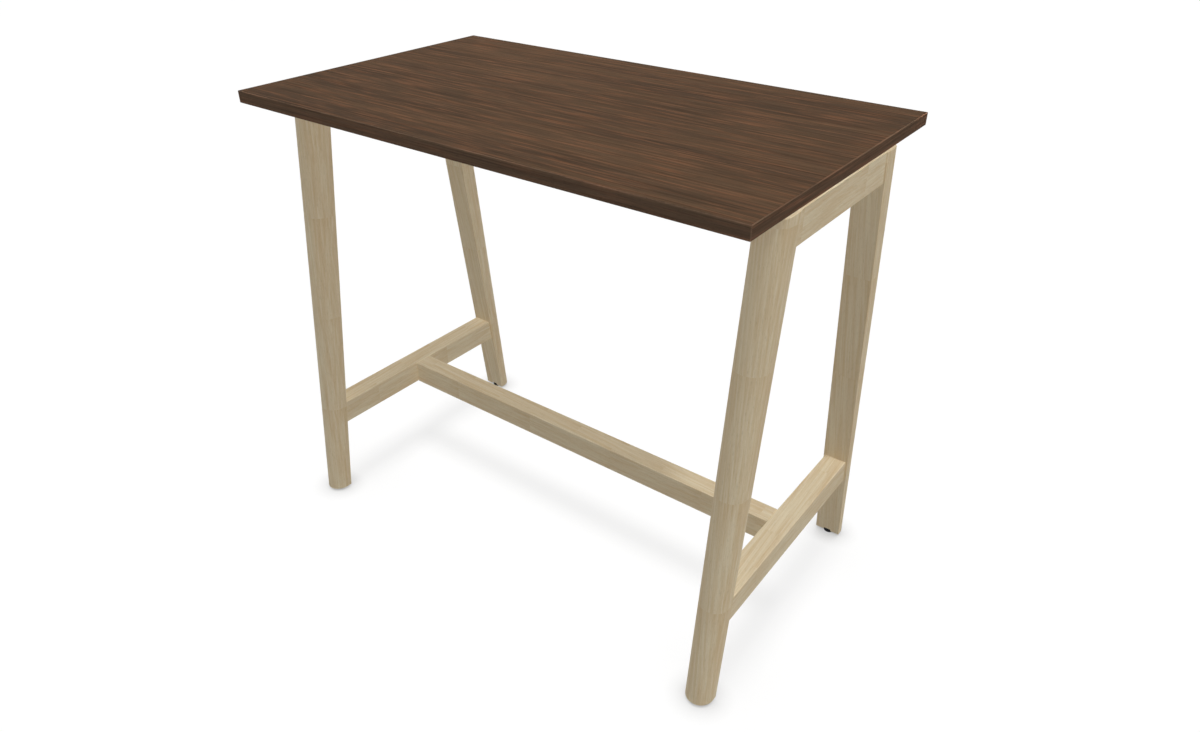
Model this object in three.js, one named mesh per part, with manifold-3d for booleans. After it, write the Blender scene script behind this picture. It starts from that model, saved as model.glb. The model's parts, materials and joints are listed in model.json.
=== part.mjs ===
// Standing meeting table: a walnut-decor top that floats on a pale ash frame with splayed legs.
// Millimetres, +Z up, X along the long side, Y across it with the front at -Y, the floor at Z = 0.

import * as THREE from 'three';
import { mergeVertices } from 'three/addons/utils/BufferGeometryUtils.js';
import Module from 'manifold-3d';

const wasm = await Module();
wasm.setup();

// Driving dimensions: the top
const tableHeight = 1050;
const topLength = 1200;
const topDepth = 700;
const topThickness = 25;
const bandThickness = 2;
const bandRounding = 1.5;
const shadowGap = 9; // clear height between the top and the wooden frame

// Driving dimensions: the legs
const endInset = 4; // from the end of the top to the outer side of a leg
const legWidth = 60;
const legDepthTop = 64.5;
const legDepthFoot = 43;
const spreadTop = 477; // over the outer faces of front and rear leg, at the frame's top
const spreadFoot = 685; // the same at the legs' feet
const arris = 1.5; // small flat taken off every long edge of the solid wood

// Driving dimensions: the rails and the stretcher
const topRailHeight = 62;
const topRailRecess = 2.5; // from the leg's side to the rail's face
const footRailHeight = 58;
const footRailRecess = 4.5;
const footRailTop = 251.5; // height of the foot rails' upper faces above the floor
const stretcherWidth = 49;

// Driving dimensions: loose tenons
const tenonThickness = 14;
const tenonHeight = 36;
const tenonInLeg = 28;
const tenonInRail = 30;
const mortiseEndGap = 1;

// Driving dimensions: steel beams under the top, each with a plate welded on either end
const beamHeight = 40;
const beamWidth = 20;
const beamWall = 2;
const beamCorner = 2;
const plateThickness = 4;
const plateEdge = 12; // plate kept round its screws
const plateBelowTop = 3; // from the top of the beam down to the plate's upper edge
const plateCorner = 6;
const coachSpacing = 42; // between the two screws of a plate
const coachBelowBeam = 12;
const coachLength = 40; // in the rail
const woodWall = 5; // least wood kept between a screw hole and a mortise

// Driving dimensions: screws
const coachDiameter = 8;
const hexAcrossFlats = 13;
const coachHeadHeight = 5.5;
const topScrewDiameter = 4.5;
const topScrewLength = 14; // in the board
const topScrewHeadDiameter = 10;
const topScrewHeadHeight = 3;
const topScrewFromEnd = 137; // from the beam's end to its outermost screw
const topScrewsPerBeam = 3;
const driverHole = 12;

// Driving dimensions: the stretcher's bolted joints
const hangerDiameter = 8;
const hangerInRail = 30;
const hangerAboveUnderside = 22;
const hangerPastNut = 4;
const washerSide = 20;
const washerThickness = 3;
const nutHeight = 6.5;
const pocketWall = 36; // wood between the stretcher's end and its pocket
const pocketLength = 32;
const pocketRoom = 3.5; // clear space round the washer, for a spanner
const dowelDiameter = 10;
const dowelInRail = 18;
const dowelInStretcher = 20;
const dowelBelowTop = 13;

// Driving dimensions: levelling glides
const glideInset = 12; // from the leg's inner face to the glide's axis, at the foot
const recessDiameter = 30; // in the leg's foot, breaking out of the inner face so that a finger gets in
const recessDepth = 5;
const padDiameter = 24;
const padRounding = 0.8;
const padFloor = 4; // pad under the stud's foot
const padLip = 4.4; // pad that holds the stud's foot down
const studDiameter = 8;
const studFootDiameter = 13;
const studFootHeight = 2;
const studLength = 32;
const studPoint = 1;
const insertWall = 1.7;
const insertLength = 22;
const boreSpare = 4; // bore left above the stud's end

// Clearances
const glueGap = 0.2; // between the board and its bands
const jointGap = 0.3; // between pieces that bear on each other
const slipGap = 0.3; // on the radius, round pins, screws and tenons

// Round stretches are drawn with this many flats
const roundSides = 12; // round a pin, a screw or a hole
const glideSides = 16; // round a levelling glide
const legArcSteps = 8; // per quarter of a leg's half-round face
const slotArcSteps = 3; // per quarter of a tenon's round edge

// Levels and places worked out from the driving dimensions
const topUnderside = tableHeight - topThickness;
const frameTop = topUnderside - shadowGap;
const padHeight = padFloor + studFootHeight + padLip + 2 * slipGap;
const recessTop = padHeight + jointGap;
const legFoot = recessTop - recessDepth;
const innerTop = spreadTop / 2 - legDepthTop;
const innerFoot = spreadFoot / 2 - legDepthFoot;
const frameX = topLength / 2 - endInset - legWidth / 2;
const topRailWidth = legWidth - 2 * topRailRecess;
const footRailWidth = legWidth - 2 * footRailRecess;
const topRailMiddle = frameTop - topRailHeight / 2;
const footRailMiddle = footRailTop - footRailHeight / 2;
const footRailUnderside = footRailTop - footRailHeight;
const beamTop = topUnderside - jointGap;
const beamUnderside = beamTop - beamHeight;
const beamEnd = frameX - topRailWidth / 2 - jointGap;
const coachZ = beamUnderside - coachBelowBeam;
const coachOffsets = [-coachSpacing / 2, coachSpacing / 2];
const coachHole = holeRadius(coachDiameter, roundSides);
const topScrewHole = holeRadius(topScrewDiameter, roundSides);
const hangerHole = holeRadius(hangerDiameter, roundSides);
const dowelHole = holeRadius(dowelDiameter, roundSides);
const insertDiameter = studDiameter + 2 * (slipGap + insertWall);
const tenonTip = innerFace(topRailMiddle) - tenonInRail;
const beamY = tenonTip - mortiseEndGap - woodWall - coachHole - coachSpacing / 2;
const stretcherEnd = frameX - footRailWidth / 2 - jointGap;
const hangerZ = footRailUnderside + hangerAboveUnderside;
const dowelZ = footRailTop - dowelBelowTop;
const glideY = innerFoot + glideInset;
const studSeat = padFloor + slipGap;
const studTop = studSeat + studLength;
const ends = [['right', 0], ['left', Math.PI]]; // each end of the table and its turn about Z

// Radius of a many-sided hole whose flats clear a round piece
function holeRadius(diameter, flats) {
  return (diameter / 2 + slipGap) / Math.cos(Math.PI / flats);
}

// Half the clear distance between front and rear leg at a height: the legs' inner faces lean
function innerFace(height) {
  const rise = (height - legFoot) / (frameTop - legFoot);
  return innerFoot + (innerTop - innerFoot) * rise;
}

// Materials
const walnutDecor = new THREE.MeshStandardMaterial({ color: 0x5c4434, roughness: 0.55, metalness: 0 });
const walnutEdging = new THREE.MeshStandardMaterial({ color: 0x533c2e, roughness: 0.5, metalness: 0 });
const oiledAsh = new THREE.MeshStandardMaterial({ color: 0xc6b590, roughness: 0.6, metalness: 0 });
const plainBeech = new THREE.MeshStandardMaterial({ color: 0xcfa677, roughness: 0.7, metalness: 0 });
const blackSteel = new THREE.MeshStandardMaterial({ color: 0x1d1e20, roughness: 0.5, metalness: 0.2 });
const zincSteel = new THREE.MeshStandardMaterial({ color: 0xb9bcc0, roughness: 0.35, metalness: 1 });
const brass = new THREE.MeshStandardMaterial({ color: 0xb9984f, roughness: 0.4, metalness: 1 });
const blackNylon = new THREE.MeshStandardMaterial({ color: 0x141416, roughness: 0.6, metalness: 0 });

// Cutting and joining
function toSolid(geometry) {
  const bare = geometry.clone();
  bare.deleteAttribute('normal');
  bare.deleteAttribute('uv');
  const merged = mergeVertices(bare);
  const vertProperties = Float32Array.from(merged.attributes.position.array);
  const triVerts = Uint32Array.from(merged.index.array);
  return new wasm.Manifold(new wasm.Mesh({ numProp: 3, vertProperties, triVerts }));
}

function toGeometry(solid) {
  const mesh = solid.getMesh();
  const geometry = new THREE.BufferGeometry();
  geometry.setAttribute('position', new THREE.BufferAttribute(mesh.vertProperties, 3));
  geometry.setIndex(new THREE.BufferAttribute(mesh.triVerts, 1));
  geometry.computeVertexNormals();
  return geometry;
}

function cut(geometry, tools) {
  const start = toSolid(geometry);
  return toGeometry(tools.reduce((solid, tool) => solid.subtract(toSolid(tool)), start));
}

function join(geometries) {
  const [first, ...others] = geometries.map(toSolid);
  return toGeometry(others.reduce((solid, other) => solid.add(other), first));
}

// Outlines
function rectangle(width, height, corner = 0) {
  const w = width / 2;
  const h = height / 2;
  const points = [
    [w - corner, -h],
    [w, -h + corner],
    [w, h - corner],
    [w - corner, h],
    [-w + corner, h],
    [-w, h - corner],
    [-w, -h + corner],
    [-w + corner, -h],
  ];
  const distinct = corner > 0 ? points : points.filter((point, index) => index % 2 === 0);
  return new THREE.Shape(distinct.map(([x, y]) => new THREE.Vector2(x, y)));
}

function slot(width, height) {
  const radius = width / 2;
  const reach = height / 2 - radius;
  const shape = new THREE.Shape();
  shape.absarc(0, reach, radius, 0, Math.PI, false);
  shape.absarc(0, -reach, radius, Math.PI, 2 * Math.PI, false);
  return shape;
}

function cornersOf(radius, flats) {
  return Array.from({ length: flats }, (_, index) => {
    const turn = (index * 2 * Math.PI) / flats;
    return new THREE.Vector2(radius * Math.cos(turn), radius * Math.sin(turn));
  });
}

function hexagon(acrossFlats) {
  return new THREE.Shape(cornersOf(acrossFlats / Math.sqrt(3), 6));
}

function boredThrough(shape, radius) {
  shape.holes.push(new THREE.Path(cornersOf(radius, roundSides)));
  return shape;
}

// Bars of one outline, from a start to an end along an axis
function extrude(shape, length, arcSteps) {
  const settings = { depth: length, bevelEnabled: false, curveSegments: arcSteps, steps: 1 };
  return new THREE.ExtrudeGeometry(shape, settings);
}

function barAlongX(shape, start, end) {
  const bar = extrude(shape, end - start, slotArcSteps);
  return bar.rotateY(Math.PI / 2).rotateX(Math.PI / 2).translate(start, 0, 0);
}

function barAlongY(shape, start, end) {
  return extrude(shape, end - start, slotArcSteps).rotateX(Math.PI / 2).translate(0, end, 0);
}

function barAlongZ(shape, start, end, arcSteps = slotArcSteps) {
  return extrude(shape, end - start, arcSteps).translate(0, 0, start);
}

function pinAlongX(radius, start, end) {
  const pin = new THREE.CylinderGeometry(radius, radius, end - start, roundSides);
  return pin.rotateZ(-Math.PI / 2).translate((start + end) / 2, 0, 0);
}

function pinAlongZ(radius, start, end) {
  const pin = new THREE.CylinderGeometry(radius, radius, end - start, roundSides);
  return pin.rotateX(Math.PI / 2).translate(0, 0, (start + end) / 2);
}

// A turned piece about the Z axis, from its outline as radius and height
function turned(outline, flats) {
  const points = outline.map(([radius, height]) => new THREE.Vector2(radius, height));
  return new THREE.LatheGeometry(points, flats).rotateX(Math.PI / 2);
}

function addMesh(parent, name, geometry, material) {
  const mesh = new THREE.Mesh(geometry, material);
  mesh.name = name;
  parent.add(mesh);
  return mesh;
}

// Top: the board, with pilot holes for its screws, and a band on each of its four edges
function topScrewPlaces() {
  const outermost = beamEnd - topScrewFromEnd;
  const pitch = (2 * outermost) / (topScrewsPerBeam - 1);
  return Array.from({ length: topScrewsPerBeam }, (_, index) => index * pitch - outermost);
}

function bandOutline() {
  const shape = new THREE.Shape();
  const h = topThickness / 2;
  const outer = bandThickness / 2;
  const rounding = Math.min(bandRounding, bandThickness);
  shape.moveTo(-outer, -h);
  shape.absarc(outer - rounding, -h + rounding, rounding, -Math.PI / 2, 0, false);
  shape.absarc(outer - rounding, h - rounding, rounding, 0, Math.PI / 2, false);
  shape.lineTo(-outer, h);
  return shape;
}

function addBand(parent, name, length, reach, turn) {
  const strip = barAlongY(bandOutline(), -length / 2, length / 2);
  strip.translate(reach - bandThickness / 2, 0, tableHeight - topThickness / 2);
  addMesh(parent, name, strip, walnutEdging).rotation.z = turn;
}

function addTop(parent) {
  const margin = 2 * (bandThickness + glueGap);
  const outline = rectangle(topLength - margin, topDepth - margin);
  const pilots = [];
  for (const x of topScrewPlaces()) {
    for (const y of [-beamY, beamY]) {
      const depth = topUnderside + topScrewLength + slipGap;
      pilots.push(pinAlongZ(topScrewHole, topUnderside - jointGap, depth).translate(x, y, 0));
    }
  }
  addMesh(parent, 'top_board', cut(barAlongZ(outline, topUnderside, tableHeight), pilots), walnutDecor);
  addBand(parent, 'edge_band_front', topLength, topDepth / 2, -Math.PI / 2);
  addBand(parent, 'edge_band_rear', topLength, topDepth / 2, Math.PI / 2);
  addBand(parent, 'edge_band_right', topDepth - margin, topLength / 2, 0);
  addBand(parent, 'edge_band_left', topDepth - margin, topLength / 2, Math.PI);
}

// Loose tenon across a joint between a rail and the front leg, and the mortise that it fills
function tenon(height) {
  const face = -innerFace(height);
  const bar = barAlongY(slot(tenonThickness, tenonHeight), face - tenonInLeg, face + tenonInRail);
  return bar.translate(0, 0, height);
}

function mortise(height) {
  const face = -innerFace(height);
  const outline = slot(tenonThickness + 2 * slipGap, tenonHeight + 2 * slipGap);
  const start = face - tenonInLeg - mortiseEndGap;
  const end = face + tenonInRail + mortiseEndGap;
  return barAlongY(outline, start, end).translate(0, 0, height);
}

function halfTurn(geometry) {
  return geometry.rotateZ(Math.PI);
}

// Front leg: a D section, flat inside and half round outside, stretched between foot and top
function legSection() {
  const half = legWidth / 2;
  const flatEnd = -(legDepthFoot - half);
  const shape = new THREE.Shape();
  shape.moveTo(half - arris, 0);
  shape.lineTo(-half + arris, 0);
  shape.lineTo(-half, -arris);
  shape.absarc(0, flatEnd, half, Math.PI, 2 * Math.PI, false);
  shape.lineTo(half, -arris);
  return shape;
}

function legGeometry() {
  const leg = barAlongZ(legSection(), legFoot, frameTop, legArcSteps);
  const flatMiddle = -(legDepthFoot - legWidth / 2) / 2;
  const place = leg.attributes.position;
  for (let i = 0; i < place.count; i += 1) {
    const z = place.getZ(i);
    const y = place.getY(i);
    const rise = (z - legFoot) / (frameTop - legFoot);
    const thickening = y < flatMiddle ? (legDepthTop - legDepthFoot) * rise : 0;
    place.setY(i, y - thickening - innerFace(z));
  }
  const insertHole = holeRadius(insertDiameter, roundSides);
  const recess = pinAlongZ(recessDiameter / 2, legFoot - jointGap, recessTop);
  const insertBore = pinAlongZ(insertHole, recessTop - jointGap, recessTop + insertLength + slipGap);
  const studBore = pinAlongZ(holeRadius(studDiameter, roundSides), recessTop, studTop + boreSpare);
  const bores = join([recess, insertBore, studBore]).translate(0, -glideY, 0);
  return cut(leg, [bores, mortise(topRailMiddle), mortise(footRailMiddle)]);
}

// Rails: an arrised bar of unit reach, stretched so that its ends follow the legs' lean
function railGeometry(width, height, middle, holes) {
  const rail = barAlongY(rectangle(width, height, arris), -1, 1).translate(0, 0, middle);
  const place = rail.attributes.position;
  for (let i = 0; i < place.count; i += 1) {
    const reach = innerFace(place.getZ(i)) - jointGap;
    place.setY(i, place.getY(i) * reach);
  }
  return cut(rail, [mortise(middle), halfTurn(mortise(middle)), ...holes]);
}

function topRailGeometry() {
  const face = -topRailWidth / 2;
  const places = [-beamY, beamY].flatMap((y) => coachOffsets.map((offset) => y + offset));
  const holes = places.map((y) =>
    pinAlongX(coachHole, face - jointGap, face + coachLength + slipGap).translate(0, y, coachZ),
  );
  return railGeometry(topRailWidth, topRailHeight, topRailMiddle, holes);
}

function footRailGeometry() {
  const face = -footRailWidth / 2;
  const bolt = pinAlongX(hangerHole, face - jointGap, face + hangerInRail + slipGap);
  const dowel = pinAlongX(dowelHole, face - jointGap, face + dowelInRail + slipGap);
  const holes = [bolt.translate(0, 0, hangerZ), dowel.translate(0, 0, dowelZ)];
  return railGeometry(footRailWidth, footRailHeight, footRailMiddle, holes);
}

// Levelling glide: a threaded insert in the leg, a stud that turns in it, and a pad on the stud's foot
function insertGeometry() {
  const bore = holeRadius(studDiameter, glideSides);
  const outer = insertDiameter / 2;
  const top = recessTop + insertLength;
  return turned([
    [bore, recessTop],
    [outer, recessTop],
    [outer, top],
    [bore, top],
    [bore, recessTop],
  ], glideSides);
}

function studGeometry() {
  const radius = studDiameter / 2;
  const foot = studFootDiameter / 2;
  return turned([
    [0, studSeat],
    [foot, studSeat],
    [foot, studSeat + studFootHeight],
    [radius, studSeat + studFootHeight],
    [radius, studTop - studPoint],
    [radius - studPoint, studTop],
    [0, studTop],
  ], glideSides);
}

function padGeometry() {
  const radius = padDiameter / 2;
  const neck = holeRadius(studDiameter, glideSides);
  const socket = holeRadius(studFootDiameter, glideSides);
  const lipZ = padHeight - padLip;
  return turned([
    [0, 0],
    [radius - padRounding, 0],
    [radius, padRounding],
    [radius, padHeight - padRounding],
    [radius - padRounding, padHeight],
    [neck, padHeight],
    [neck, lipZ],
    [socket, lipZ],
    [socket, padFloor],
    [0, padFloor],
  ], glideSides);
}

function addGlide(parent, corner) {
  const glide = new THREE.Group();
  glide.position.y = -glideY;
  addMesh(glide, `glide_insert_${corner}`, insertGeometry(), brass);
  addMesh(glide, `glide_stud_${corner}`, studGeometry(), zincSteel);
  addMesh(glide, `glide_pad_${corner}`, padGeometry(), blackNylon);
  parent.add(glide);
}

// One leg with what goes into it; the rear one is the front one turned half round
function addLeg(parent, corner, turn) {
  const group = new THREE.Group();
  group.rotation.z = turn;
  addMesh(group, `leg_${corner}`, legGeometry(), oiledAsh);
  addMesh(group, `top_tenon_${corner}`, tenon(topRailMiddle), plainBeech);
  addMesh(group, `foot_tenon_${corner}`, tenon(footRailMiddle), plainBeech);
  addGlide(group, corner);
  parent.add(group);
}

// Stretcher joint at one end: hanger bolt, plate washer, nut and locating dowel, along X
function pocketFace() {
  return stretcherEnd - pocketWall;
}

function washerGeometry() {
  const outline = boredThrough(rectangle(washerSide, washerSide), hangerHole);
  const end = pocketFace() - jointGap;
  return barAlongX(outline, end - washerThickness, end);
}

function nutFace() {
  return pocketFace() - washerThickness - 2 * jointGap;
}

function nutGeometry() {
  const outline = boredThrough(hexagon(hexAcrossFlats), hangerHole);
  return barAlongX(outline, nutFace() - nutHeight, nutFace());
}

function hangerStart() {
  return nutFace() - nutHeight - hangerPastNut;
}

function addStretcherJoint(parent, side, turn) {
  const group = new THREE.Group();
  group.rotation.z = turn;
  const railFace = frameX - footRailWidth / 2;
  const hanger = pinAlongX(hangerDiameter / 2, hangerStart(), railFace + hangerInRail);
  const dowel = pinAlongX(dowelDiameter / 2, stretcherEnd - dowelInStretcher, railFace + dowelInRail);
  const bolted = new THREE.Group();
  bolted.position.z = hangerZ;
  addMesh(bolted, `hanger_bolt_${side}`, hanger, zincSteel);
  addMesh(bolted, `plate_washer_${side}`, washerGeometry(), zincSteel);
  addMesh(bolted, `hex_nut_${side}`, nutGeometry(), zincSteel);
  group.add(bolted);
  addMesh(group, `locating_dowel_${side}`, dowel, plainBeech).position.z = dowelZ;
  parent.add(group);
}

// Stretcher: an arrised bar with a nut pocket in its underside near each end
function stretcherCuts() {
  const pocketWidth = washerSide + 2 * pocketRoom;
  const pocketTop = hangerZ + pocketWidth / 2;
  const outline = rectangle(pocketLength, pocketWidth);
  const pocket = barAlongZ(outline, footRailUnderside - jointGap, pocketTop);
  pocket.translate(pocketFace() - pocketLength / 2, 0, 0);
  const past = stretcherEnd + jointGap;
  const hanger = pinAlongX(hangerHole, pocketFace() - jointGap, past);
  const dowel = pinAlongX(dowelHole, stretcherEnd - dowelInStretcher - slipGap, past);
  return [pocket, hanger.translate(0, 0, hangerZ), dowel.translate(0, 0, dowelZ)];
}

function addStretcher(parent) {
  const outline = rectangle(stretcherWidth, footRailHeight, arris);
  const bar = barAlongX(outline, -stretcherEnd, stretcherEnd).translate(0, 0, footRailMiddle);
  const cuts = [...stretcherCuts(), ...stretcherCuts().map(halfTurn)];
  addMesh(parent, 'stretcher', cut(bar, cuts), oiledAsh);
}

// Beam: a steel tube with an end plate welded round either end, the tube left open through the plates
function plateGeometry() {
  const upper = beamTop - plateBelowTop;
  const lower = coachZ - plateEdge;
  const outline = rectangle(coachSpacing + 2 * plateEdge, upper - lower, plateCorner);
  return barAlongX(outline, beamEnd - plateThickness, beamEnd).translate(0, 0, (upper + lower) / 2);
}

function coachHoles() {
  return coachOffsets.map((y) => {
    const hole = pinAlongX(coachHole, beamEnd - plateThickness - jointGap, beamEnd + jointGap);
    return hole.translate(0, y, coachZ);
  });
}

function beamGeometry() {
  const middle = beamTop - beamHeight / 2;
  const tube = barAlongX(rectangle(beamWidth, beamHeight, beamCorner), -beamEnd, beamEnd);
  const bore = barAlongX(
    rectangle(beamWidth - 2 * beamWall, beamHeight - 2 * beamWall),
    -beamEnd - jointGap,
    beamEnd + jointGap,
  );
  const screwHoles = topScrewPlaces().flatMap((x) => {
    const upper = pinAlongZ(topScrewHole, middle, beamTop + jointGap);
    const lower = pinAlongZ(driverHole / 2, beamUnderside - jointGap, middle);
    return [upper.translate(x, 0, 0), lower.translate(x, 0, 0)];
  });
  const welded = join([
    tube.translate(0, 0, middle),
    plateGeometry(),
    halfTurn(plateGeometry()),
  ]);
  const holes = [...coachHoles(), ...coachHoles().map(halfTurn)];
  return cut(welded, [bore.translate(0, 0, middle), ...screwHoles, ...holes]);
}

// Coach screw: a hex head against the plate and a shank in the rail
function coachScrewGeometry() {
  const headEnd = beamEnd - plateThickness - jointGap;
  const shankEnd = beamEnd + jointGap + coachLength;
  const head = barAlongX(hexagon(hexAcrossFlats), headEnd - coachHeadHeight, headEnd);
  return join([head, pinAlongX(coachDiameter / 2, headEnd - coachHeadHeight / 2, shankEnd)]);
}

// Pan-head screw up through the beam's upper wall into the board
function topScrewGeometry() {
  const radius = topScrewDiameter / 2;
  const seat = beamTop - beamWall - jointGap;
  const tip = topUnderside + topScrewLength;
  return turned([
    [0, seat - topScrewHeadHeight],
    [topScrewHeadDiameter / 2, seat - topScrewHeadHeight],
    [topScrewHeadDiameter / 2, seat],
    [radius, seat],
    [radius, tip - topScrewDiameter],
    [0, tip],
  ], roundSides);
}

// One beam with the screws that hold it to the board and to the top rails
function addBeam(parent, row, y) {
  const beam = new THREE.Group();
  beam.position.y = y;
  addMesh(beam, `beam_${row}`, beamGeometry(), blackSteel);
  topScrewPlaces().forEach((x, index) => {
    addMesh(beam, `top_screw_${row}_${index + 1}`, topScrewGeometry(), zincSteel).position.x = x;
  });
  for (const [side, turn] of ends) {
    coachOffsets.forEach((offset, index) => {
      const name = `coach_screw_${row}_${side}_${index + 1}`;
      const screw = addMesh(beam, name, coachScrewGeometry(), zincSteel);
      screw.position.set(0, offset, coachZ);
      screw.rotation.z = turn;
    });
  }
  parent.add(beam);
}

// End frame: two legs, a top rail and a foot rail; the left one is the right one turned half round
function addEndFrame(parent, side, turn) {
  const turnedRound = new THREE.Group();
  turnedRound.rotation.z = turn;
  const frame = new THREE.Group();
  frame.position.x = frameX;
  const [near, far] = side === 'right' ? ['front', 'rear'] : ['rear', 'front'];
  addLeg(frame, `${near}_${side}`, 0);
  addLeg(frame, `${far}_${side}`, Math.PI);
  addMesh(frame, `top_rail_${side}`, topRailGeometry(), oiledAsh);
  addMesh(frame, `foot_rail_${side}`, footRailGeometry(), oiledAsh);
  turnedRound.add(frame);
  parent.add(turnedRound);
}

const table = new THREE.Group();
addTop(table);
for (const [side, turn] of ends) {
  addEndFrame(table, side, turn);
  addStretcherJoint(table, side, turn);
}
addStretcher(table);
addBeam(table, 'front', -beamY);
addBeam(table, 'rear', beamY);

export default table;
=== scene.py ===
# %% [markdown]
# # A standing meeting table
# A dark walnut-decor top floats on a pale ash frame. Four splayed legs, half round outside and flat
# inside, stand in two end frames, and one low stretcher joins the frames at foot height.
# The solids of all pieces are built already, at real size. This lesson loads them as a fixed frame,
# models the surfaces that the eye meets around them, and gives each surface its own finish.

# %% Load the solids
import json
import math

import bmesh
import bpy
from mathutils import Matrix, Vector

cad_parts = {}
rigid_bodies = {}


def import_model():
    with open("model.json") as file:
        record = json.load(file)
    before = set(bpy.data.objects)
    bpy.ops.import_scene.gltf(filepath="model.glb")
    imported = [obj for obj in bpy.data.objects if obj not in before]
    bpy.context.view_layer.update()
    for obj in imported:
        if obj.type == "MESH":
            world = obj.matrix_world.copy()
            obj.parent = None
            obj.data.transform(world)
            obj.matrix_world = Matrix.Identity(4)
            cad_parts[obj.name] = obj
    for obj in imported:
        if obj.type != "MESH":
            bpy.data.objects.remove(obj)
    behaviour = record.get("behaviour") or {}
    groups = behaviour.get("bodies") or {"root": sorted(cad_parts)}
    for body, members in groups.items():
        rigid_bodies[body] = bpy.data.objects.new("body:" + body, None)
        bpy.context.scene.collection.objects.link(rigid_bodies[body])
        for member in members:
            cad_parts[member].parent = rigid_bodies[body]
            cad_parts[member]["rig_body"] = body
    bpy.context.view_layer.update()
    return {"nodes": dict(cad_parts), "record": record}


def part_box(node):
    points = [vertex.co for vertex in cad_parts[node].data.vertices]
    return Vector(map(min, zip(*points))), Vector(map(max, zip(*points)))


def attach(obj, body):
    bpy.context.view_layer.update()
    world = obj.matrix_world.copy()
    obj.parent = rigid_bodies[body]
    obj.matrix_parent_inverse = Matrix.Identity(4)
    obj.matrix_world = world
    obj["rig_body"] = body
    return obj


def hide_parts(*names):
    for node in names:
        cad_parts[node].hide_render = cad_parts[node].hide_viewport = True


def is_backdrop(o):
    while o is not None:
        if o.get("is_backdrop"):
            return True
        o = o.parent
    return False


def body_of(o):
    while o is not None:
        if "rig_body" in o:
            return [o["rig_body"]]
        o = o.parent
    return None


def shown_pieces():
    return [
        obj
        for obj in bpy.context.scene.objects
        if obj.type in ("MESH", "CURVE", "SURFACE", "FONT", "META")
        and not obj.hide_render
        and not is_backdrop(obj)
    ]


MM = 0.001
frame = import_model()
scene = bpy.context.scene
scene.view_settings.view_transform = "Standard"
slot_of = {part["node"]: part["material_slot"] for part in frame["record"]["subparts"]}

# %% [markdown]
# ## Camera
# The table is seen from its front right corner, from a little above the top. A camera can be placed by
# eye, but here the edges of the top were measured and the one viewpoint that fits them was worked out.
# That fit gives a place, a turn, a tilt and a focal length in pixels, which becomes a lens on a sensor.

# %% Set up the camera
CAMERA_PLACE = Vector((1112.3, -1380.8, 1520.8)) * MM
CAMERA_TURN = math.radians(36.884)
CAMERA_TILT = math.radians(31.637)
FOCAL_PIXELS = 880.67
IMAGE_WIDTH_PIXELS = 1200
SENSOR_MM = 36

camera = bpy.data.cameras.new("viewpoint")
camera.sensor_fit = "HORIZONTAL"
camera.sensor_width = SENSOR_MM
camera.lens = FOCAL_PIXELS / IMAGE_WIDTH_PIXELS * SENSOR_MM
viewpoint = bpy.data.objects.new("viewpoint", camera)
viewpoint.location = CAMERA_PLACE
viewpoint.rotation_euler = (math.pi / 2 - CAMERA_TILT, 0, CAMERA_TURN)
scene.collection.objects.link(viewpoint)
scene.camera = viewpoint
print("lens:", round(camera.lens, 3), "mm")

# %% [markdown]
# ## Nodes and colours
# Every finish below is a small tree of shader nodes. One function adds a node, sets its options and
# fills its sockets, either with a value or with a link from another node. Colours are written as the
# hex values that a paint program shows, so one function turns them into the linear values of light.

# %% Helpers for finishes
RGBA_FACTOR, RGBA_A, RGBA_B, RGBA_RESULT = 0, 6, 7, 2


def add_node(tree, kind, inputs=None, **options):
    made = tree.nodes.new(kind)
    for name, value in options.items():
        setattr(made, name, value)
    for socket, value in (inputs or {}).items():
        if isinstance(value, bpy.types.NodeSocket):
            tree.links.new(value, made.inputs[socket])
        else:
            made.inputs[socket].default_value = value
    return made


def linear(hex_colour):
    parts = [int(hex_colour[i:i + 2], 16) / 255 for i in (0, 2, 4)]
    light = [c / 12.92 if c <= 0.04045 else ((c + 0.055) / 1.055) ** 2.4 for c in parts]
    return (*light, 1.0)


def new_finish(name, **shader_values):
    material = bpy.data.materials.new(name)
    material.use_nodes = True
    shader = material.node_tree.nodes["Principled BSDF"]
    for socket, value in shader_values.items():
        shader.inputs[socket.replace("_", " ")].default_value = value
    return material, material.node_tree, shader


print("mid grey 808080 is", round(linear("808080")[0], 3), "in linear light")

# %% [markdown]
# ## Studio
# The table stands in an even white studio. Its walls and ceiling are wide suns that cast no shadow, because
# light from a whole wall wraps round a slim leg. One window lamp from the upper right does cast a shadow:
# the top shades most of the stretcher, and the right-hand end stays bright.
# The lens sees the world as plain white, while the table is lit by a weaker dome.

# %% World and lamps
WHITE = (1.0, 1.0, 1.0, 1.0)
DOME_STRENGTH = 0.08
# Each lamp: the direction it shines from, its strength, its width in degrees and whether it casts a shadow
LAMPS = {
    "window": ((0.43, 0.0, 1.0), 0.79, 8, True),
    "ceiling": ((0.0, 0.0, 1.0), 1.58, 120, False),
    "right_wall": ((1.0, 0.0, 0.1), 0.80, 120, False),
    "front_wall": ((0.0, -1.0, 0.1), 0.30, 120, False),
    "left_wall": ((-1.0, 0.0, 0.1), 0.53, 120, False),
    "rear_wall": ((0.0, 1.0, 0.1), 0.30, 120, False),
}

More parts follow.
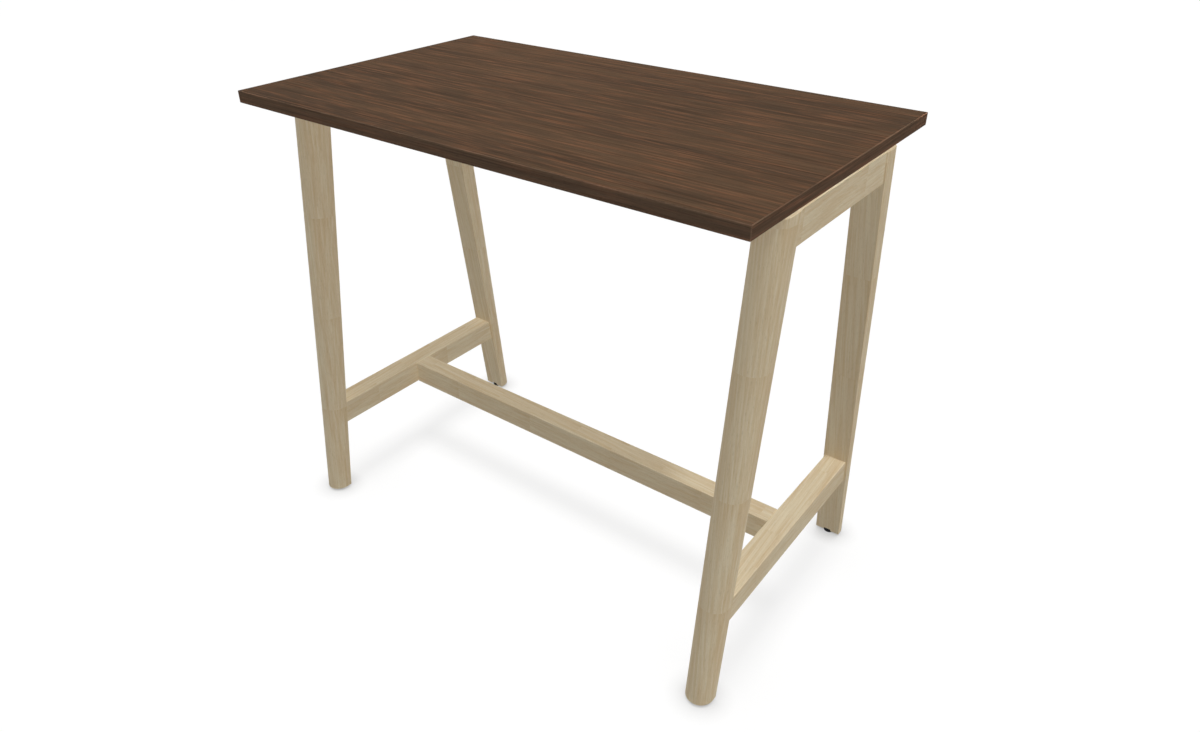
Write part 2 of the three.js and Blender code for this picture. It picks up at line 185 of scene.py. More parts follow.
world = bpy.data.worlds.new("studio")
scene.world = world
world.use_nodes = True
air = world.node_tree
air.nodes.clear()
rays = add_node(air, "ShaderNodeLightPath")
seen = add_node(air, "ShaderNodeMath", {0: rays.outputs["Is Camera Ray"], 1: rays.outputs["Is Glossy Ray"]},
                operation="ADD")
through = add_node(air, "ShaderNodeMath", {0: seen.outputs[0], 1: rays.outputs["Is Transmission Ray"]},
                   operation="ADD", use_clamp=True)
dome = add_node(air, "ShaderNodeBackground", {"Color": WHITE, "Strength": DOME_STRENGTH})
backdrop = add_node(air, "ShaderNodeBackground", {"Color": WHITE, "Strength": 1.0})
either = add_node(air, "ShaderNodeMixShader", {0: through.outputs[0], 1: dome.outputs[0], 2: backdrop.outputs[0]})
add_node(air, "ShaderNodeOutputWorld", {"Surface": either.outputs[0]})


def add_sun(name, shines_from, strength, width, shadow):
    lamp = bpy.data.lights.new(name, "SUN")
    lamp.energy = strength
    lamp.angle = math.radians(width)
    lamp.use_shadow = shadow
    lamp.cycles.use_multiple_importance_sampling = shadow
    sun = bpy.data.objects.new(name, lamp)
    sun.rotation_euler = Vector(shines_from).to_track_quat("Z", "Y").to_euler()
    scene.collection.objects.link(sun)
    return sun


suns = [add_sun(name, *settings) for name, settings in LAMPS.items()]
print("lamps:", list(LAMPS))

# %% [markdown]
# ## Floor
# The floor is white to the lens, with soft grey shadows just under the legs, rails and stretcher.
# A floor lit by the window lamp would show the long shadow of the top as well, which this studio hides. So the
# studio lamps skip the floor, and one more sun shines straight down on the floor alone. The lens sees mostly
# even white, and a small part of the floor's brightness comes from that sun, so its shadows stay pale.

# %% Floor
FLOOR_HALF_SIZE = 30.0
FLOOR_BOUNCE = 0.30
FLOOR_GLOW = 0.805
FLOOR_GREY = 0.19
SHADOW_SUN = ((0.0, 0.0, 1.0), 3.14, 26, True)
CONTACT_REACH = 48 * MM
CONTACT_DEPTH = 0.5

floor_finish, tree, shader = new_finish("white_studio_floor")
tree.nodes.remove(shader)
rays = add_node(tree, "ShaderNodeLightPath")
seen = add_node(tree, "ShaderNodeMath", {0: rays.outputs["Is Camera Ray"], 1: rays.outputs["Is Glossy Ray"]},
                operation="ADD")
through = add_node(tree, "ShaderNodeMath", {0: seen.outputs[0], 1: rays.outputs["Is Transmission Ray"]},
                   operation="ADD", use_clamp=True)
bounce = add_node(tree, "ShaderNodeEmission", {"Color": WHITE, "Strength": FLOOR_BOUNCE})
shaded = add_node(tree, "ShaderNodeBsdfDiffuse", {"Color": (FLOOR_GREY, FLOOR_GREY, FLOOR_GREY, 1.0)})
# An ambient occlusion node darkens the glow near the legs: a painted contact shadow on the floor
near = add_node(tree, "ShaderNodeAmbientOcclusion", {"Distance": CONTACT_REACH}, samples=8)
painted_contact_shadow = add_node(tree, "ShaderNodeMapRange", {0: near.outputs["AO"], 1: 0.0, 2: 1.0,
                                                3: FLOOR_GLOW - CONTACT_DEPTH, 4: FLOOR_GLOW})
glow = add_node(tree, "ShaderNodeEmission", {"Color": WHITE, "Strength": painted_contact_shadow.outputs[0]})
bright = add_node(tree, "ShaderNodeAddShader", {0: glow.outputs[0], 1: shaded.outputs[0]})
either = add_node(tree, "ShaderNodeMixShader", {0: through.outputs[0], 1: bounce.outputs[0], 2: bright.outputs[0]})
tree.links.new(either.outputs[0], tree.nodes["Material Output"].inputs["Surface"])

bm = bmesh.new()
bmesh.ops.create_grid(bm, x_segments=1, y_segments=1, size=FLOOR_HALF_SIZE)
floor_mesh = bpy.data.meshes.new("floor")
bm.to_mesh(floor_mesh)
bm.free()
floor_mesh.materials.append(floor_finish)
floor = bpy.data.objects.new("floor", floor_mesh)
scene.collection.objects.link(floor)
floor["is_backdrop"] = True

not_floor = bpy.data.collections.new("not_the_floor")
not_floor.objects.link(floor)
not_floor.collection_objects[0].light_linking.link_state = "EXCLUDE"
for sun in suns:
    sun.light_linking.receiver_collection = not_floor
print("floor:", 2 * FLOOR_HALF_SIZE, "m square")

# %% [markdown]
# ## Walnut decor
# The top is chipboard faced with a printed walnut laminate, and its edges carry a band with the same
# print. Walnut shows long bands of cool dark brown and warm red-brown, thin darker streaks and short
# dark pores. Noise that is stretched along the grain gives all of these, each at its own real width.
# The print is flat, so only two coordinates matter: along the grain and across it.

# %% Walnut
# Each layer: length along the grain and width across it, in mm
WALNUT_BANDS = (900, 70)
WALNUT_FLAMES = (140, 8)
WALNUT_STREAKS = (330, 6)
WALNUT_FIBRES = (150, 2.4)
WALNUT_PORES = (14, 1.4)  # real pores are 0.2 mm wide, too fine for the picture


def grain_noise(tree, along, across, size, detail, shift):
    length, width = size
    stretched = add_node(tree, "ShaderNodeCombineXYZ", {"Z": shift})
    for axis, value, real in (("X", along, length), ("Y", across, width)):
        scaled = add_node(tree, "ShaderNodeMath", {0: value, 1: 1 / (real * MM)}, operation="MULTIPLY")
        tree.links.new(scaled.outputs[0], stretched.inputs[axis])
    return add_node(tree, "ShaderNodeTexNoise",
                    {"Vector": stretched.outputs[0], "Scale": 1.0, "Detail": detail, "Roughness": 0.6})


def walnut_finish(name, along, across, cool, mean, warm, roughness, whitening_and_highlight, seed):
    # Printed walnut under a matt film: brown bands with crisp darker lines, hardly any gloss or relief
    material, tree, shader = new_finish(name, IOR=1.5, Specular_IOR_Level=0.004)
    place = add_node(tree, "ShaderNodeTexCoord")
    axes = add_node(tree, "ShaderNodeSeparateXYZ", {0: place.outputs["Object"]})
    u, v = axes.outputs[along], axes.outputs[across]
    bands = grain_noise(tree, u, v, WALNUT_BANDS, 2.0, shift=seed + 3.0)
    flames = grain_noise(tree, u, v, WALNUT_FLAMES, 3.0, shift=seed + 11.0)
    streaks = grain_noise(tree, u, v, WALNUT_STREAKS, 4.0, shift=seed + 37.0)
    fibres = grain_noise(tree, u, v, WALNUT_FIBRES, 3.0, shift=seed + 23.0)
    pores = grain_noise(tree, u, v, WALNUT_PORES, 1.0, shift=seed + 51.0)
    broad = add_node(tree, "ShaderNodeMapRange", {0: bands.outputs["Fac"], 1: 0.35, 2: 0.6, 3: 0.0, 4: 1.0})
    red = add_node(tree, "ShaderNodeMapRange", {0: flames.outputs["Fac"], 1: 0.48, 2: 0.68, 3: 0.0, 4: 1.0})
    dull = add_node(tree, "ShaderNodeMix", {RGBA_FACTOR: broad.outputs[0], RGBA_A: linear(cool),
                                            RGBA_B: linear(mean)}, data_type="RGBA")
    brown = add_node(tree, "ShaderNodeMix", {RGBA_FACTOR: red.outputs[0], RGBA_A: dull.outputs[RGBA_RESULT],
                                             RGBA_B: linear(warm)}, data_type="RGBA")
    dark = add_node(tree, "ShaderNodeMapRange", {0: streaks.outputs["Fac"], 1: 0.48, 2: 0.62, 3: 1.04, 4: 0.78})
    lines = add_node(tree, "ShaderNodeMapRange", {0: fibres.outputs["Fac"], 1: 0.4, 2: 0.6, 3: 1.07, 4: 0.84})
    pits = add_node(tree, "ShaderNodeMapRange", {0: pores.outputs["Fac"], 1: 0.64, 2: 0.72, 3: 1.0, 4: 0.72})
    grain = add_node(tree, "ShaderNodeMath", {0: dark.outputs[0], 1: lines.outputs[0]}, operation="MULTIPLY")
    shade = add_node(tree, "ShaderNodeMath", {0: grain.outputs[0], 1: pits.outputs[0]}, operation="MULTIPLY")
    print_colour = add_node(tree, "ShaderNodeVectorMath", {0: brown.outputs[RGBA_RESULT],
                                                           "Scale": shade.outputs[0]}, operation="SCALE")
    # A paler line is painted on the rounded edge of a band: partly the whitening a trimming cutter leaves, partly a
    # painted highlight where the arris catches the light
    whitening_and_highlight_mask = add_node(tree, "ShaderNodeAttribute", attribute_name="edge", attribute_type="GEOMETRY")
    paler = add_node(tree, "ShaderNodeMath", {0: whitening_and_highlight_mask.outputs["Fac"], 1: whitening_and_highlight, 2: 1.0}, operation="MULTIPLY_ADD")
    colour = add_node(tree, "ShaderNodeVectorMath", {0: print_colour.outputs[0], "Scale": paler.outputs[0]},
                      operation="SCALE")
    sheen = add_node(tree, "ShaderNodeMapRange", {0: fibres.outputs["Fac"], 1: 0.3, 2: 0.7,
                                                  3: roughness - 0.05, 4: roughness + 0.05})
    relief = add_node(tree, "ShaderNodeBump", {"Strength": 0.25, "Distance": 0.1 * MM, "Height": shade.outputs[0]})
    tree.links.new(colour.outputs[0], shader.inputs["Base Color"])
    tree.links.new(sheen.outputs[0], shader.inputs["Roughness"])
    tree.links.new(relief.outputs[0], shader.inputs["Normal"])
    return material


walnut_top = walnut_finish("walnut_laminate_matt", "X", "Y", "4f3f32", "5d4938", "76543e", 0.65, 0.0, 0.0)
# The number before the seed sets the paler rounded edge: partly trimmer whitening, partly a painted highlight
walnut_band_x = walnut_finish("walnut_edging_along_x", "X", "Z", "5b4a3c", "624f40", "715543", 0.6, 0.3, 5.0)
walnut_band_y = walnut_finish("walnut_edging_along_y", "Y", "Z", "4f4033", "5c4839", "6f503e", 0.6, 0.65, 0.0)
print("walnut finishes:", walnut_top.name, walnut_band_x.name, walnut_band_y.name)

# %% [markdown]
# ## Oiled ash
# The frame is pale ash, glued up from staves that butt end to end, then planed and oiled to a matt finish.
# Its grain runs along each member, whichever way the member lies, so each piece carries its own grain
# coordinates as an attribute: along the member, across it and into it. A floor function cuts them into
# staves, and a random number for each stave shifts its tone and its grain, so the joints show as on real wood.
# A sawn stave is palest along its middle and its grain runs slightly askew, so both depend on the place in
# the stave.

# %% Ash
STAVE_LENGTH = 253
STAVE_STAGGER = 0.45  # how far the joints of neighbouring rows are set off, in stave lengths
GRAIN_SLANT = 0.05  # how far the grain drifts across a stave for each length along it
GRAIN_WAVE = 0.5
END_SHADE = 0.10  # one end of a stave is darker than the rest
END_SHARPNESS = 8
ASH_CLOUDS = (600, 34)
ASH_STREAKS = (300, 6.5)
ASH_FIBRES = (110, 2.2)
ASH_PORES = (12, 1.1)  # drawn wider than real ash pores, so that they show


def solid_noise(tree, place, size, detail):
    length, width = size
    scale = (1 / (length * MM), 1 / (width * MM), 1 / (width * MM))
    stretched = add_node(tree, "ShaderNodeVectorMath", {0: place, 1: scale}, operation="MULTIPLY")
    return add_node(tree, "ShaderNodeTexNoise", {"Vector": stretched.outputs[0], "Scale": 1.0, "Detail": detail,
                                                 "Roughness": 0.6, "Distortion": GRAIN_WAVE})


def ash_finish(name, tan, pale, roughness):
    # Open, silky wood under matt oil: pale and tan streaks, faint staves, a dry low sheen
    material, tree, shader = new_finish(name, IOR=1.46, Specular_IOR_Level=0.1)
    grain = add_node(tree, "ShaderNodeAttribute", attribute_name="grain", attribute_type="GEOMETRY")
    axes = add_node(tree, "ShaderNodeSeparateXYZ", {0: grain.outputs["Vector"]})
    strip = add_node(tree, "ShaderNodeAttribute", attribute_name="strip", attribute_type="GEOMETRY")
    row = add_node(tree, "ShaderNodeMath", {0: strip.outputs["Fac"]}, operation="FLOOR")
    run = add_node(tree, "ShaderNodeMath", {0: axes.outputs["X"], 1: STAVE_LENGTH * MM}, operation="DIVIDE")
    length = add_node(tree, "ShaderNodeMath", {0: row.outputs[0], 1: STAVE_STAGGER, 2: run.outputs[0]},
                      operation="MULTIPLY_ADD")
    block = add_node(tree, "ShaderNodeMath", {0: length.outputs[0]}, operation="FLOOR")
    member = add_node(tree, "ShaderNodeMath", {0: axes.outputs["Z"]}, operation="FLOOR")
    cell = add_node(tree, "ShaderNodeCombineXYZ", {"X": block.outputs[0], "Y": row.outputs[0],
                                                   "Z": member.outputs[0]})
    chance = add_node(tree, "ShaderNodeTexWhiteNoise", {"Vector": cell.outputs[0]}, noise_dimensions="3D")
    moved = add_node(tree, "ShaderNodeVectorMath", {0: chance.outputs["Color"], 1: (2.0, 2.0, 2.0),
                                                    2: grain.outputs["Vector"]}, operation="MULTIPLY_ADD")
    askew = add_node(tree, "ShaderNodeVectorMath", {0: axes.outputs["X"], 1: (0.0, GRAIN_SLANT, 0.0),
                                                    2: moved.outputs[0]}, operation="MULTIPLY_ADD")
    clouds = solid_noise(tree, askew.outputs[0], ASH_CLOUDS, 2.0)
    streaks = solid_noise(tree, askew.outputs[0], ASH_STREAKS, 4.0)
    fibres = solid_noise(tree, askew.outputs[0], ASH_FIBRES, 3.0)
    pores = solid_noise(tree, askew.outputs[0], ASH_PORES, 1.0)
    coarse = add_node(tree, "ShaderNodeMath", {0: clouds.outputs["Fac"], 1: 0.3, 2: streaks.outputs["Fac"]},
                      operation="MULTIPLY_ADD")
    mixed = add_node(tree, "ShaderNodeMath", {0: fibres.outputs["Fac"], 1: 0.6, 2: coarse.outputs[0]},
                     operation="MULTIPLY_ADD")
    heart = add_node(tree, "ShaderNodeMath", {0: strip.outputs["Fac"], 1: 0.5}, operation="PINGPONG")
    paler = add_node(tree, "ShaderNodeMath", {0: heart.outputs[0], 1: 0.16, 2: mixed.outputs[0]},
                     operation="MULTIPLY_ADD")
    part = add_node(tree, "ShaderNodeMath", {0: length.outputs[0]}, operation="FRACT")
    near_end = add_node(tree, "ShaderNodeMath", {0: part.outputs[0], 1: END_SHARPNESS}, operation="POWER")
    darker = add_node(tree, "ShaderNodeMath", {0: near_end.outputs[0], 1: -END_SHADE, 2: paler.outputs[0]},
                      operation="MULTIPLY_ADD")
    stave = add_node(tree, "ShaderNodeMath", {0: chance.outputs["Value"], 1: 0.07, 2: darker.outputs[0]},
                     operation="MULTIPLY_ADD")
    tone = add_node(tree, "ShaderNodeMapRange", {0: stave.outputs[0], 1: 0.8, 2: 1.23, 3: 0.0, 4: 1.0})
    wood = add_node(tree, "ShaderNodeMix", {RGBA_FACTOR: tone.outputs[0], RGBA_A: linear(tan),
                                            RGBA_B: linear(pale)}, data_type="RGBA")
    pits = add_node(tree, "ShaderNodeMapRange", {0: pores.outputs["Fac"], 1: 0.58, 2: 0.68, 3: 1.0, 4: 0.88})
    planed = add_node(tree, "ShaderNodeVectorMath", {0: wood.outputs[RGBA_RESULT], "Scale": pits.outputs[0]},
                      operation="SCALE")
    # Rounded edges are painted paler: partly polished oil, partly a painted highlight
    polish_and_highlight_mask = add_node(tree, "ShaderNodeAttribute", attribute_name="edge", attribute_type="GEOMETRY")
    polish_and_highlight = add_node(tree, "ShaderNodeMath", {0: polish_and_highlight_mask.outputs["Fac"], 1: 0.08, 2: 1.0}, operation="MULTIPLY_ADD")
    colour = add_node(tree, "ShaderNodeVectorMath", {0: planed.outputs[0], "Scale": polish_and_highlight.outputs[0]},
                      operation="SCALE")
    dry = add_node(tree, "ShaderNodeMapRange", {0: fibres.outputs["Fac"], 1: 0.3, 2: 0.7,
                                                3: roughness - 0.06, 4: roughness + 0.06})
    relief = add_node(tree, "ShaderNodeBump", {"Strength": 0.3, "Distance": 0.15 * MM, "Height": mixed.outputs[0]})
    tree.links.new(colour.outputs[0], shader.inputs["Base Color"])
    tree.links.new(dry.outputs[0], shader.inputs["Roughness"])
    tree.links.new(relief.outputs[0], shader.inputs["Normal"])
    return material


ash = ash_finish("ash_planed_matt_oil", "c1ab89", "cfc2a6", 0.7)
print("ash finish:", ash.name)

# %% [markdown]
# ## Beech, steel, brass and nylon
# The remaining materials are met only from below or when a glide is wound out, but each one has a surface
# of its own: planed beech with its short dark flecks, black powder coat with a fine orange-peel skin,
# zinc plating that is slightly cloudy, turned brass, and moulded nylon with a fine spark-eroded grain.

# %% Other finishes
BEECH_FLECK = (6, 1.0)
POWDER_GRAIN = 0.9  # the real skin is finer; drawn at this size so that it shows
ZINC_CLOUD = 3.0
BRASS_LINE = 0.5
NYLON_GRAIN = 0.7


def mottled_finish(name, dark, light, size, roughness, relief_depth, **shader_values):
    material, tree, shader = new_finish(name, **shader_values)
    place = add_node(tree, "ShaderNodeTexCoord")
    grit = add_node(tree, "ShaderNodeTexNoise", {"Vector": place.outputs["Object"], "Scale": 1 / (size * MM),
                                                 "Detail": 3.0, "Roughness": 0.6})
    tone = add_node(tree, "ShaderNodeMapRange", {0: grit.outputs["Fac"], 1: 0.35, 2: 0.65, 3: 0.0, 4: 1.0})
    colour = add_node(tree, "ShaderNodeMix", {RGBA_FACTOR: tone.outputs[0], RGBA_A: linear(dark),
                                              RGBA_B: linear(light)}, data_type="RGBA")
    sheen = add_node(tree, "ShaderNodeMapRange", {0: grit.outputs["Fac"], 1: 0.3, 2: 0.7,
                                                  3: roughness - 0.06, 4: roughness + 0.06})
    relief = add_node(tree, "ShaderNodeBump", {"Strength": 0.4, "Distance": relief_depth * MM,
                                               "Height": grit.outputs["Fac"]})
    tree.links.new(colour.outputs[RGBA_RESULT], shader.inputs["Base Color"])
    tree.links.new(sheen.outputs[0], shader.inputs["Roughness"])
    tree.links.new(relief.outputs[0], shader.inputs["Normal"])
    return material


finishes = {
    "walnut_decor": walnut_top,
    "walnut_edging": walnut_band_x,
    "oiled_ash": ash,
    # Planed beech: pinkish, even, with short flecks
    "plain_beech": mottled_finish("beech_planed_bare", "b98f63", "d3ac80", 4.0, 0.65, 0.05, IOR=1.46),
    # Powder coat: black, satin, with a fine pebbled skin
    "black_steel": mottled_finish("steel_black_powder_coat", "141415", "202123", POWDER_GRAIN, 0.48, 0.06, IOR=1.5),
    # Zinc plating: bright grey, a little cloudy
    "zinc_steel": mottled_finish("steel_zinc_plated", "a9adb3", "c9ccd0", ZINC_CLOUD, 0.34, 0.01, Metallic=1.0),
    # Turned brass: warm yellow with fine tool lines
    "brass": mottled_finish("brass_turned", "a8853f", "c4a35a", BRASS_LINE, 0.32, 0.02, Metallic=1.0),
    # Moulded nylon: black, matt, with a fine spark-eroded grain
    "black_nylon": mottled_finish("nylon_moulded_black", "101012", "1b1b1d", NYLON_GRAIN, 0.65, 0.04,
                                  IOR=1.53, Specular_IOR_Level=0.15),
}
print("finishes:", sorted(finishes))

# %% [markdown]
# ## From a mesh to a piece
# Each new piece starts as an empty bmesh, a mesh that operators can edit. When its shape is done, its faces
# are turned outwards and shaded smooth, with sharp edges kept sharp. It then takes the place of the solid of
# the same name, rides on the same body and wears the finish of the same slot.
# Faces made by rounding an edge are marked, and the finishes paint them paler there: partly oil that hands and dusters
# polish first, partly a painted highlight on the arris.

# %% Helpers for pieces
SHARP_ANGLE = math.radians(40)
MERGE_DISTANCE = 0.002 * MM
SPIN_STEPS = 64


def new_shape():
    shape = bmesh.new()
    shape.faces.layers.float.new("edge")
    return shape


def round_edges(shape, edges, radius, segments=3):
    made = bmesh.ops.bevel(shape, geom=list(edges), offset=radius, offset_type="OFFSET", affect="EDGES",
                           segments=segments, profile=0.5, material=-1)
    mark = shape.faces.layers.float["edge"]
    for face in made["faces"]:
        face[mark] = 1.0


def box_between(shape, low, high):
    middle = (low + high) / 2
    size = high - low
    place = Matrix.Translation(middle) @ Matrix.Diagonal((*size, 1.0))
    return bmesh.ops.create_cube(shape, size=1.0, matrix=place)["verts"]


def edges_along(shape, axis):
    # Straight edges that run along one axis: 0 for X, 1 for Y, 2 for Z
    found = []
    for edge in shape.edges:
        run = edge.verts[1].co - edge.verts[0].co
        if abs(run[axis]) > 0.9 * run.length:
            found.append(edge)
    return found


def spun(shape, axis, profile):
    # A closed or axis-to-axis profile of radius and height, spun about a vertical axis
    points = [bmesh.ops.create_vert(shape, co=axis + Vector((radius, 0, height)))["vert"][0]
              for radius, height in profile]
    for pair in zip(points, points[1:]):
        bmesh.ops.contextual_create(shape, geom=pair)
    line = list({edge for point in points for edge in point.link_edges})
    bmesh.ops.spin(shape, geom=points + line, cent=axis, axis=(0, 0, 1), angle=2 * math.pi,
                   steps=SPIN_STEPS, use_merge=True)
    bmesh.ops.remove_doubles(shape, verts=shape.verts, dist=MERGE_DISTANCE)


def short_lived(shape, name):
    bmesh.ops.recalc_face_normals(shape, faces=shape.faces)
    mesh = bpy.data.meshes.new(name)
    shape.to_mesh(mesh)
    shape.free()
    made = bpy.data.objects.new(name, mesh)
    scene.collection.objects.link(made)
    return made


def cut_away(shape, cutter):
    # Both shapes become objects for a moment, and a boolean modifier takes the second out of the first
    whole = short_lived(shape, "whole")
    tool = short_lived(cutter, "tool")
    difference = whole.modifiers.new("difference", "BOOLEAN")
    difference.operation = "DIFFERENCE"
    difference.solver = "EXACT"
    difference.object = tool
    result = bpy.data.meshes.new_from_object(whole.evaluated_get(bpy.context.evaluated_depsgraph_get()))
    left_over = bmesh.new()
    left_over.from_mesh(result)
    used = [whole.data, tool.data, result]
    bpy.data.objects.remove(whole)
    bpy.data.objects.remove(tool)
    for mesh in used:
        bpy.data.meshes.remove(mesh)
    return left_over


def write_grain(shape, direction, centre, first_joint, stave_width, seam, member):
    # Coordinates along the member, across it and into it, kept with every vertex, and a count of staves
    # across it. A butt joint falls at first_joint along the member and a seam between staves at seam across
    # it. Members lie whole metres apart in the third coordinate, so no two of them share their grain.
    along = Vector(direction).normalized()
    across = Vector((0, 1, 0)) if abs(along.x) > 0.5 else Vector((1, 0, 0))
    into = along.cross(across).normalized()
    shift = Vector((-first_joint, -seam, member + 0.5))
    grain = shape.verts.layers.float_vector.new("grain")
    strip = shape.verts.layers.float.new("strip")
    for vertex in shape.verts:
        place = vertex.co - centre
        vertex[grain] = Vector((place.dot(along), place.dot(across), place.dot(into))) + shift
        vertex[strip] = vertex[grain].y / stave_width


def place_piece(shape, node, finish=None):
    bmesh.ops.remove_doubles(shape, verts=shape.verts, dist=MERGE_DISTANCE)
    bmesh.ops.recalc_face_normals(shape, faces=shape.faces)
    for face in shape.faces:
        face.smooth = True
    for edge in shape.edges:
        edge.smooth = edge.calc_face_angle(0.0) < SHARP_ANGLE
    mesh = bpy.data.meshes.new(f"{node}_shaped")
    shape.to_mesh(mesh)
    shape.free()
    mesh.materials.append(finish or finishes[slot_of[node]])
    piece = bpy.data.objects.new(f"{node}_shaped", mesh)
    scene.collection.objects.link(piece)
    even = piece.modifiers.new("even_shading", "WEIGHTED_NORMAL")
    even.keep_sharp = True
    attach(piece, body_of(frame["nodes"][node])[0])
    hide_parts(node)
    return piece


print("pieces are shaded smooth below", round(math.degrees(SHARP_ANGLE)), "degrees")

# %% [markdown]
# ## Top
# The board itself is a plain slab, so its solid stays and only gets the walnut finish. The bands are
# 2 mm strips of edging. Their outer edges are rounded by the machine that trims them, so each band is a
# thin box whose outer edges are bevelled. The front and rear bands run through to the corners, so their ends
# are rounded as well. Grain runs along each band, as edging comes off a roll.

# %% Edge bands
BAND_ROUNDING = 1.5 * MM
BAND_SIDES = {"front": (0, -1, 0), "rear": (0, 1, 0), "left": (-1, 0, 0), "right": (1, 0, 0)}


def edge_band(side):
    low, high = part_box(f"edge_band_{side}")
    out = Vector(BAND_SIDES[side])
    face_level = max(low.dot(out), high.dot(out))
    shape = new_shape()
    box_between(shape, low, high)

    def on_face(vertex):
        return abs(vertex.co.dot(out) - face_level) < MERGE_DISTANCE

    runs_to_corners = side in ("front", "rear")
    if runs_to_corners:
        outer = [e for e in shape.edges if any(on_face(v) for v in e.verts)]
    else:
        outer = [e for e in edges_along(shape, 1) if all(on_face(v) for v in e.verts)]
    round_edges(shape, outer, BAND_ROUNDING, segments=5)
    return place_piece(shape, f"edge_band_{side}", walnut_band_x if runs_to_corners else walnut_band_y)


for side in BAND_SIDES:
    band = edge_band(side)
    print(band.name, len(band.data.polygons), "faces")

# %% [markdown]
# ## Legs
# A leg is flat on the inner side and half round on the outer side. It leans outwards, and it is deeper at
# the top than at the foot. A lathe can't make this shape and a cylinder has no flat, so the outline is drawn
# once at the foot: one vertex is spun through half a turn, and two corners close it into a D. The outline is
# extruded upwards, then the upper end is shifted, which gives the lean and the taper in one move.
# A stepped bore in the foot takes the glide. Its wide part breaks out of the flat inner side, as a recess near
# an edge does when it is drilled, and the black pad shows through the gap.

# %% Leg sizes from the solids
LEVEL = 0.01 * MM


def depth_at(node, height):
    inside = [v.co.y for v in frame["nodes"][node].data.vertices if abs(v.co.z - height) < LEVEL]
    return min(inside), max(inside)


leg_low, leg_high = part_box("leg_front_right")
foot_outer, foot_inner = depth_at("leg_front_right", leg_low.z)
top_outer, top_inner = depth_at("leg_front_right", leg_high.z)
leg_middle = (leg_low.x + leg_high.x) / 2
leg_half = (leg_high.x - leg_low.x) / 2
leg_rise = leg_high.z - leg_low.z
print("leg depth at the foot and at the top, mm:",
      round((foot_inner - foot_outer) / MM, 2), round((top_inner - top_outer) / MM, 2))

# %% Legs
ARC_STEPS = 40
LEG_ARRIS = 1.0 * MM
LEG_END_ARRIS = 0.5 * MM
INSERT_SLIP = 0.3 * MM
RECESS_RADIUS = 15 * MM
LEG_FIRST_JOINT = 240 * MM  # the lowest butt joint between staves, above the foot
LEG_STAVE_WIDTH = 64 * MM  # one stave is as wide as the leg


def foot_cutter():
    # A stepped bore under the leg: a wide recess for the pad, then a narrow hole for the insert
    pad_low, pad_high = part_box("glide_pad_front_right")
    insert_low, insert_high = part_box("glide_insert_front_right")
    hole = (insert_high.x - insert_low.x) / 2 + INSERT_SLIP
    axis = Vector(((pad_low.x + pad_high.x) / 2, (pad_low.y + pad_high.y) / 2, 0))
    end = insert_high.z + INSERT_SLIP
    cutter = bmesh.new()
    spun(cutter, axis, [(0, 0), (RECESS_RADIUS, 0), (RECESS_RADIUS, insert_low.z), (hole, insert_low.z),
                        (hole, end), (0, end)])
    return cutter


def leg(corner):
    row, side = corner.split("_")
    shape = new_shape()
    centre = Vector((leg_middle, foot_outer + leg_half, leg_low.z))
    first = bmesh.ops.create_vert(shape, co=(leg_middle - leg_half, centre.y, leg_low.z))["vert"]
    bmesh.ops.spin(shape, geom=first, cent=centre, axis=(0, 0, 1), angle=math.pi, steps=ARC_STEPS)
    ends = [v for v in shape.verts if len(v.link_edges) == 1]
    left, right = sorted(ends, key=lambda v: v.co.x)
    inner_left = bmesh.ops.create_vert(shape, co=(left.co.x, foot_inner, leg_low.z))["vert"][0]
    inner_right = bmesh.ops.create_vert(shape, co=(right.co.x, foot_inner, leg_low.z))["vert"][0]
    for pair in ((left, inner_left), (inner_left, inner_right), (inner_right, right)):
        bmesh.ops.contextual_create(shape, geom=pair)
    section = bmesh.ops.edgeloop_fill(shape, edges=shape.edges)["faces"]
    raised = bmesh.ops.extrude_face_region(shape, geom=section)["geom"]
    for vertex in (g for g in raised if isinstance(g, bmesh.types.BMVert)):
        inner = abs(vertex.co.y - foot_inner) < LEVEL
        shift = top_inner - foot_inner if inner else top_outer - foot_outer
        vertex.co += Vector((0, shift, leg_rise))
    long_edges = [e for e in edges_along(shape, 2)
                  if min(v.co.y for v in e.verts) > foot_inner - LEVEL]
    round_edges(shape, long_edges, LEG_ARRIS)
    rims = [e for e in shape.edges if abs(e.verts[0].co.z - e.verts[1].co.z) < LEVEL
            and min(abs(e.verts[0].co.z - leg_low.z), abs(e.verts[0].co.z - leg_high.z)) < LEVEL]
    round_edges(shape, rims, LEG_END_ARRIS, segments=2)
    shape = cut_away(shape, foot_cutter())
    mirror = Vector((1 if side == "right" else -1, 1 if row == "front" else -1, 1))
    bmesh.ops.scale(shape, vec=mirror, verts=shape.verts)
    lean = Vector((0, (top_inner + top_outer - foot_inner - foot_outer) / 2 * mirror.y, leg_rise))
    foot = Vector((centre.x * mirror.x, (foot_inner + foot_outer) / 2 * mirror.y, leg_low.z))
    write_grain(shape, lean, foot, LEG_FIRST_JOINT, LEG_STAVE_WIDTH, -LEG_STAVE_WIDTH / 2, corners.index(corner))
    return place_piece(shape, f"leg_{corner}")


corners = [f"{row}_{side}" for row in ("front", "rear") for side in ("left", "right")]
for corner in corners:
    made = leg(corner)
    print(made.name, len(made.data.polygons), "faces")

# %% [markdown]
# ## Rails and stretcher
# The rails are planed bars whose ends are cut to the lean of the legs. Each one starts as a box. Its end
# vertices slide along the bar until they meet the sloping inner faces of the legs, less the glue joint's
# width. The long edges and the ends get an arris of about a millimetre and a half. At the ends it leaves a
# small groove beside the leg, which shows as the thin dark line where two members meet.

